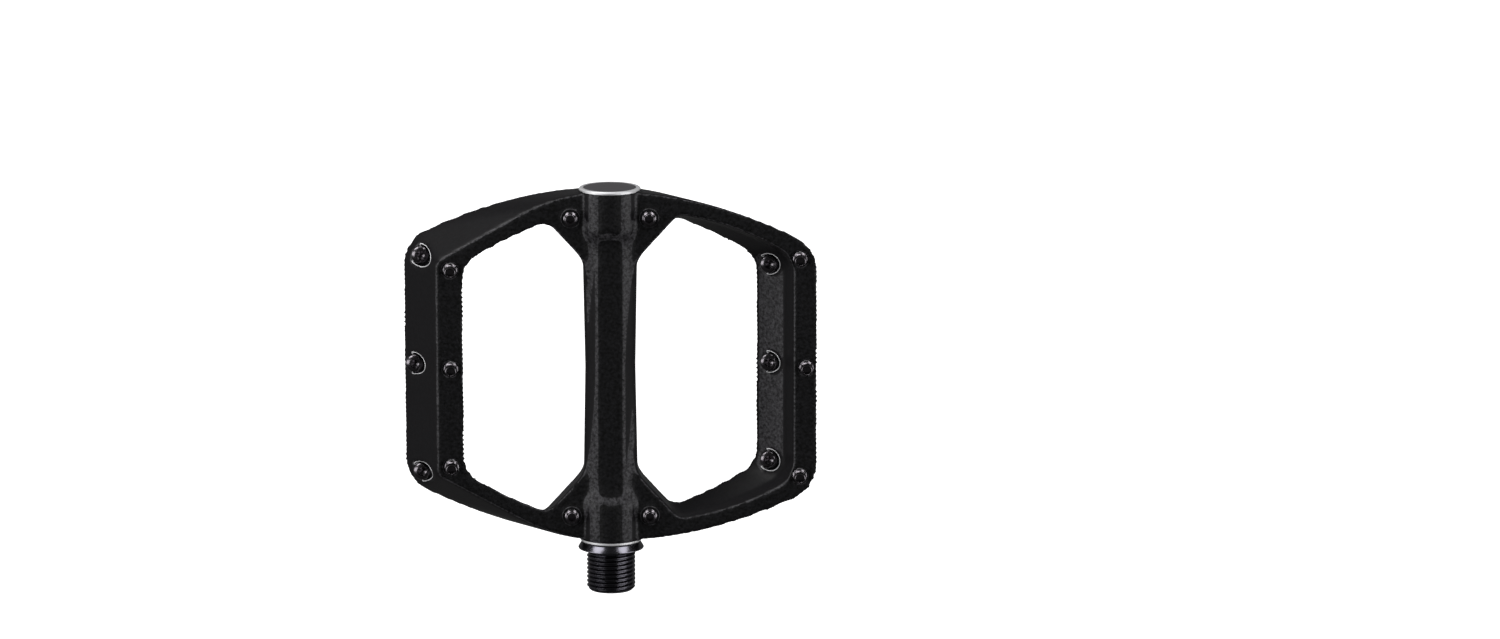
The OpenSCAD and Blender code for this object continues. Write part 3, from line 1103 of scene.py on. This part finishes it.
@dataclass
class Studio:
    """Pale floor, softboxes left, right and outboard with dark gaps between them, and the camera."""

    floor_z: float = -0.066
    distance: float = 2.0
    elevation: float = 12.0
    aim: Point = (0.0407, 0.0679, 0.0)
    centre: Point = (0.0, 0.0548, 0.0)
    lens: float = 164.7
    floor_glow: float = 0.8
    floor_bounce: float = 0.05
    air: float = 0.05
    softboxes: tuple[Softbox, ...] = (
        Softbox("softbox_left", (-1.1, 0.1, 0.66), (0.6, 1.2), 8.5),
        Softbox("softbox_right", (1.1, 0.0, 0.66), (0.6, 1.2), 7.5),
        Softbox("softbox_corner_left", (-0.75, 1.0, 0.36), (0.6, 0.6), 7.0),
        Softbox("softbox_corner_right", (0.7, 1.0, 0.4), (0.5, 0.6), 5.5),
        Softbox("softbox_outboard_low", (-0.3, 1.35, 0.06), (0.9, 0.3), 5.0),
    )

    def floor(self) -> None:
        """Lays a white floor that shows pale but throws little light back at the metal."""
        bpy.ops.object.select_all(action="DESELECT")
        bpy.ops.mesh.primitive_plane_add(size=8, location=(0, 0, self.floor_z))
        floor = bpy.context.active_object
        floor.name = "studio_floor"
        settle(floor)
        paper = bpy.data.materials.new("studio_paper_white")
        paper.use_nodes = True
        tree = paper.node_tree
        shader = tree.nodes["Principled BSDF"]
        seen = add_node(tree, "ShaderNodeLightPath")
        tone = add_node(
            tree, "ShaderNodeMix", {"data_type": "RGBA", "6": linear("#5a5a5a"), "7": linear("#f8f8f8")},
            {"0": seen.outputs["Is Camera Ray"]},
        )
        glow = add_node(
            tree, "ShaderNodeMapRange", {"To Min": self.floor_bounce, "To Max": self.floor_glow},
            {"Value": seen.outputs["Is Camera Ray"]},
        )
        shader.inputs["Roughness"].default_value = 0.9
        shader.inputs["Emission Color"].default_value = (1, 1, 1, 1)
        tree.links.new(tone.outputs[2], shader.inputs["Base Color"])
        tree.links.new(glow.outputs["Result"], shader.inputs["Emission Strength"])
        floor.data.materials.append(paper)

    def hang(self, softbox: Softbox) -> None:
        """Hangs one softbox that faces the pedal.

        Args:
            softbox: The softbox to hang.
        """
        lamp = bpy.data.lights.new(softbox.name, "AREA")
        lamp.shape = "RECTANGLE"
        lamp.size, lamp.size_y = softbox.size
        lamp.energy = softbox.power
        box = bpy.data.objects.new(softbox.name, lamp)
        bpy.context.scene.collection.objects.link(box)
        box.location = softbox.place
        toward = Vector(self.centre) - Vector(softbox.place)
        box.rotation_euler = toward.to_track_quat("-Z", "Y").to_euler()

    def sky(self) -> None:
        """Sets an even, dim surround."""
        world = bpy.data.worlds.new("studio_air")
        world.use_nodes = True
        air = world.node_tree.nodes["Background"]
        air.inputs["Color"].default_value = (1, 1, 1, 1)
        air.inputs["Strength"].default_value = self.air
        bpy.context.scene.world = world

    def camera(self) -> None:
        """Stands the camera over the pedal, looking down past its outboard end."""
        rise = math.radians(self.elevation)
        place = Vector(self.centre) + self.distance * Vector((0, math.sin(rise), math.cos(rise)))
        back = (place - Vector(self.aim)).normalized()
        up = (Vector((0, 1, 0)) - back * back.y).normalized()
        right = up.cross(back)
        lens = bpy.data.cameras.new("studio_camera")
        lens.lens = self.lens
        lens.sensor_width = 36
        lens.clip_start = 0.01
        view = bpy.data.objects.new("studio_camera", lens)
        bpy.context.scene.collection.objects.link(view)
        turn = Matrix((right, up, back)).transposed()
        view.matrix_world = Matrix.Translation(place) @ turn.to_4x4()
        bpy.context.scene.camera = view

    def build(self) -> None:
        """Sets floor, lights and camera."""
        self.floor()
        for softbox in self.softboxes:
            self.hang(softbox)
        self.sky()
        self.camera()
        bpy.context.scene.view_settings.view_transform = "Standard"


def main() -> None:
    """Builds the pedal and its studio in order."""
    logging.basicConfig(level=logging.INFO, format="%(name)s: %(message)s")
    plan = PinPlan()
    PlatformFrame(plan).build()
    GripPins(plan).build()
    Spindle().build()
    EndPlug().build()
    HubInternals().build()
    Studio().build()


if __name__ == "__main__":
    main()
